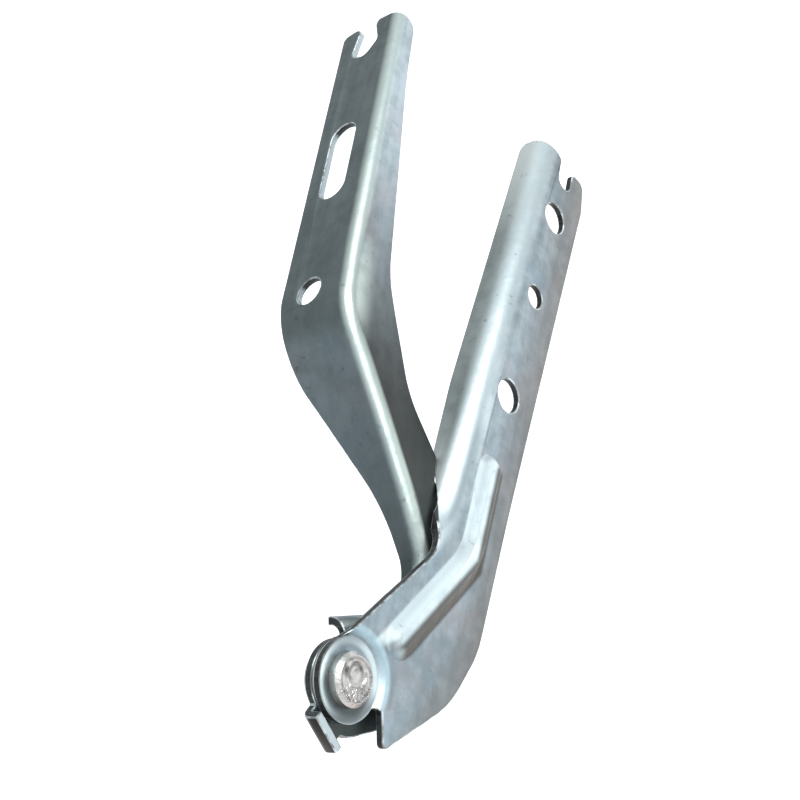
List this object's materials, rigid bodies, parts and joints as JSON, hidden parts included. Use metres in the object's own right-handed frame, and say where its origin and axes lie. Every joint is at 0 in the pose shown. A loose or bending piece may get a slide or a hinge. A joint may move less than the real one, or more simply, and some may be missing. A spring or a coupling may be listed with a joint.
{
  "type": "bonnet hinge",
  "caption": "Pressed steel bonnet hinge: a ribbed body bracket and a gooseneck bonnet arm folding on one riveted pivot, with a bent opening stop.",
  "frame": {"origin": "centre of the rear body bolt hole on the bracket's outer web face, which bolts to the body", "axes": "+X along the bonnet flange from the pivot end to the free ends, +Y along the pivot from the body bracket to the bonnet arm, +Z out of the bonnet flange"},
  "size_m": [0.2398, 0.054, 0.0805],
  "materials": {
    "bracket_zinc": "satin zinc plating with a cool tint",
    "arm_zinc": "satin zinc plating with a cool tint",
    "rivet_steel": "spun bright steel",
    "washer_steel": "bright steel"
  },
  "bodies": {
    "bracket": {"body_bracket": "bracket_zinc", "pivot_rivet": "rivet_steel", "spacer_washer": "washer_steel"},
    "arm": {"bonnet_arm": "arm_zinc"}
  },
  "joints": [
    {"name": "bonnet_pivot", "type": "hinge", "parent": "bracket", "child": "arm", "pos_m": [-0.1006, 0.002, 0.0379], "axis": [0, -1, 0], "range_deg": [0, 50]}
  ]
}
